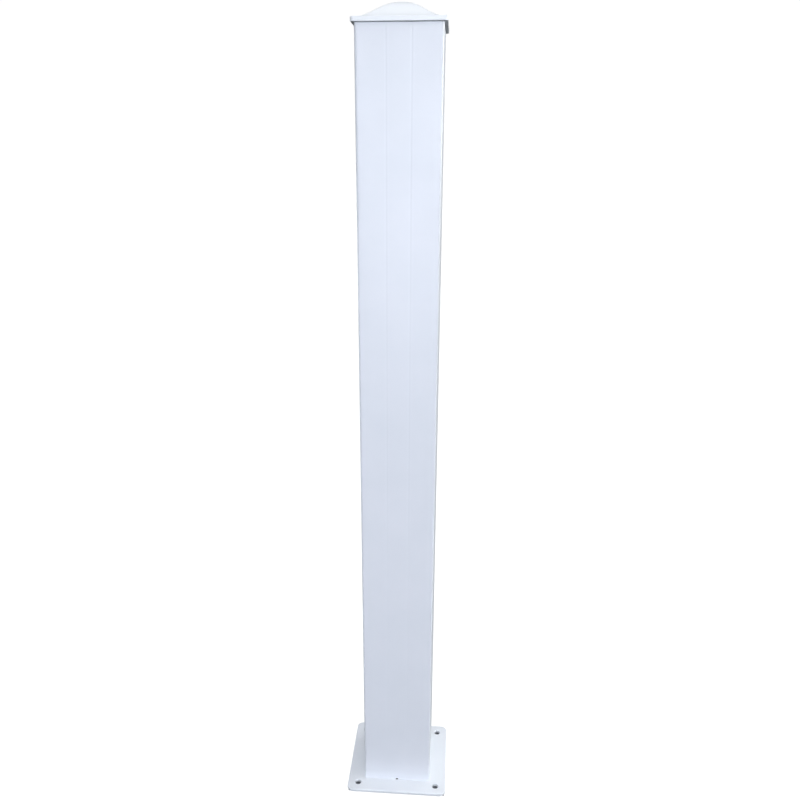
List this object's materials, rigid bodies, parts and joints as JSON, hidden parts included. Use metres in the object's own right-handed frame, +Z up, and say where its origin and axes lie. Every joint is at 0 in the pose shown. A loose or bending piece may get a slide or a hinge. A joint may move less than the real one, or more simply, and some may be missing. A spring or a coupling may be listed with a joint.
{
  "type": "stair post",
  "caption": "Square hollow stair newel post on a flat bolt-down foot plate, with an overhanging low ogee cap.",
  "frame": {"origin": "on the floor, in the middle of the foot plate's underside, straight under the middle of the post", "axes": "+Z up along the post, -Y out of the front face (the one with the drain notch), +X to the right of it"},
  "size_m": [0.1524, 0.1524, 1.0988],
  "materials": {
    "base_plate_powder_coat": "satin white powder coat on aluminium plate",
    "post_tube_powder_coat": "satin white powder coat on extruded aluminium",
    "post_cap_powder_coat": "satin white powder coat on cast aluminium"
  },
  "bodies": {
    "root": {"base_plate": "base_plate_powder_coat", "post_tube": "post_tube_powder_coat", "post_cap": "post_cap_powder_coat"}
  },
  "joints": []
}
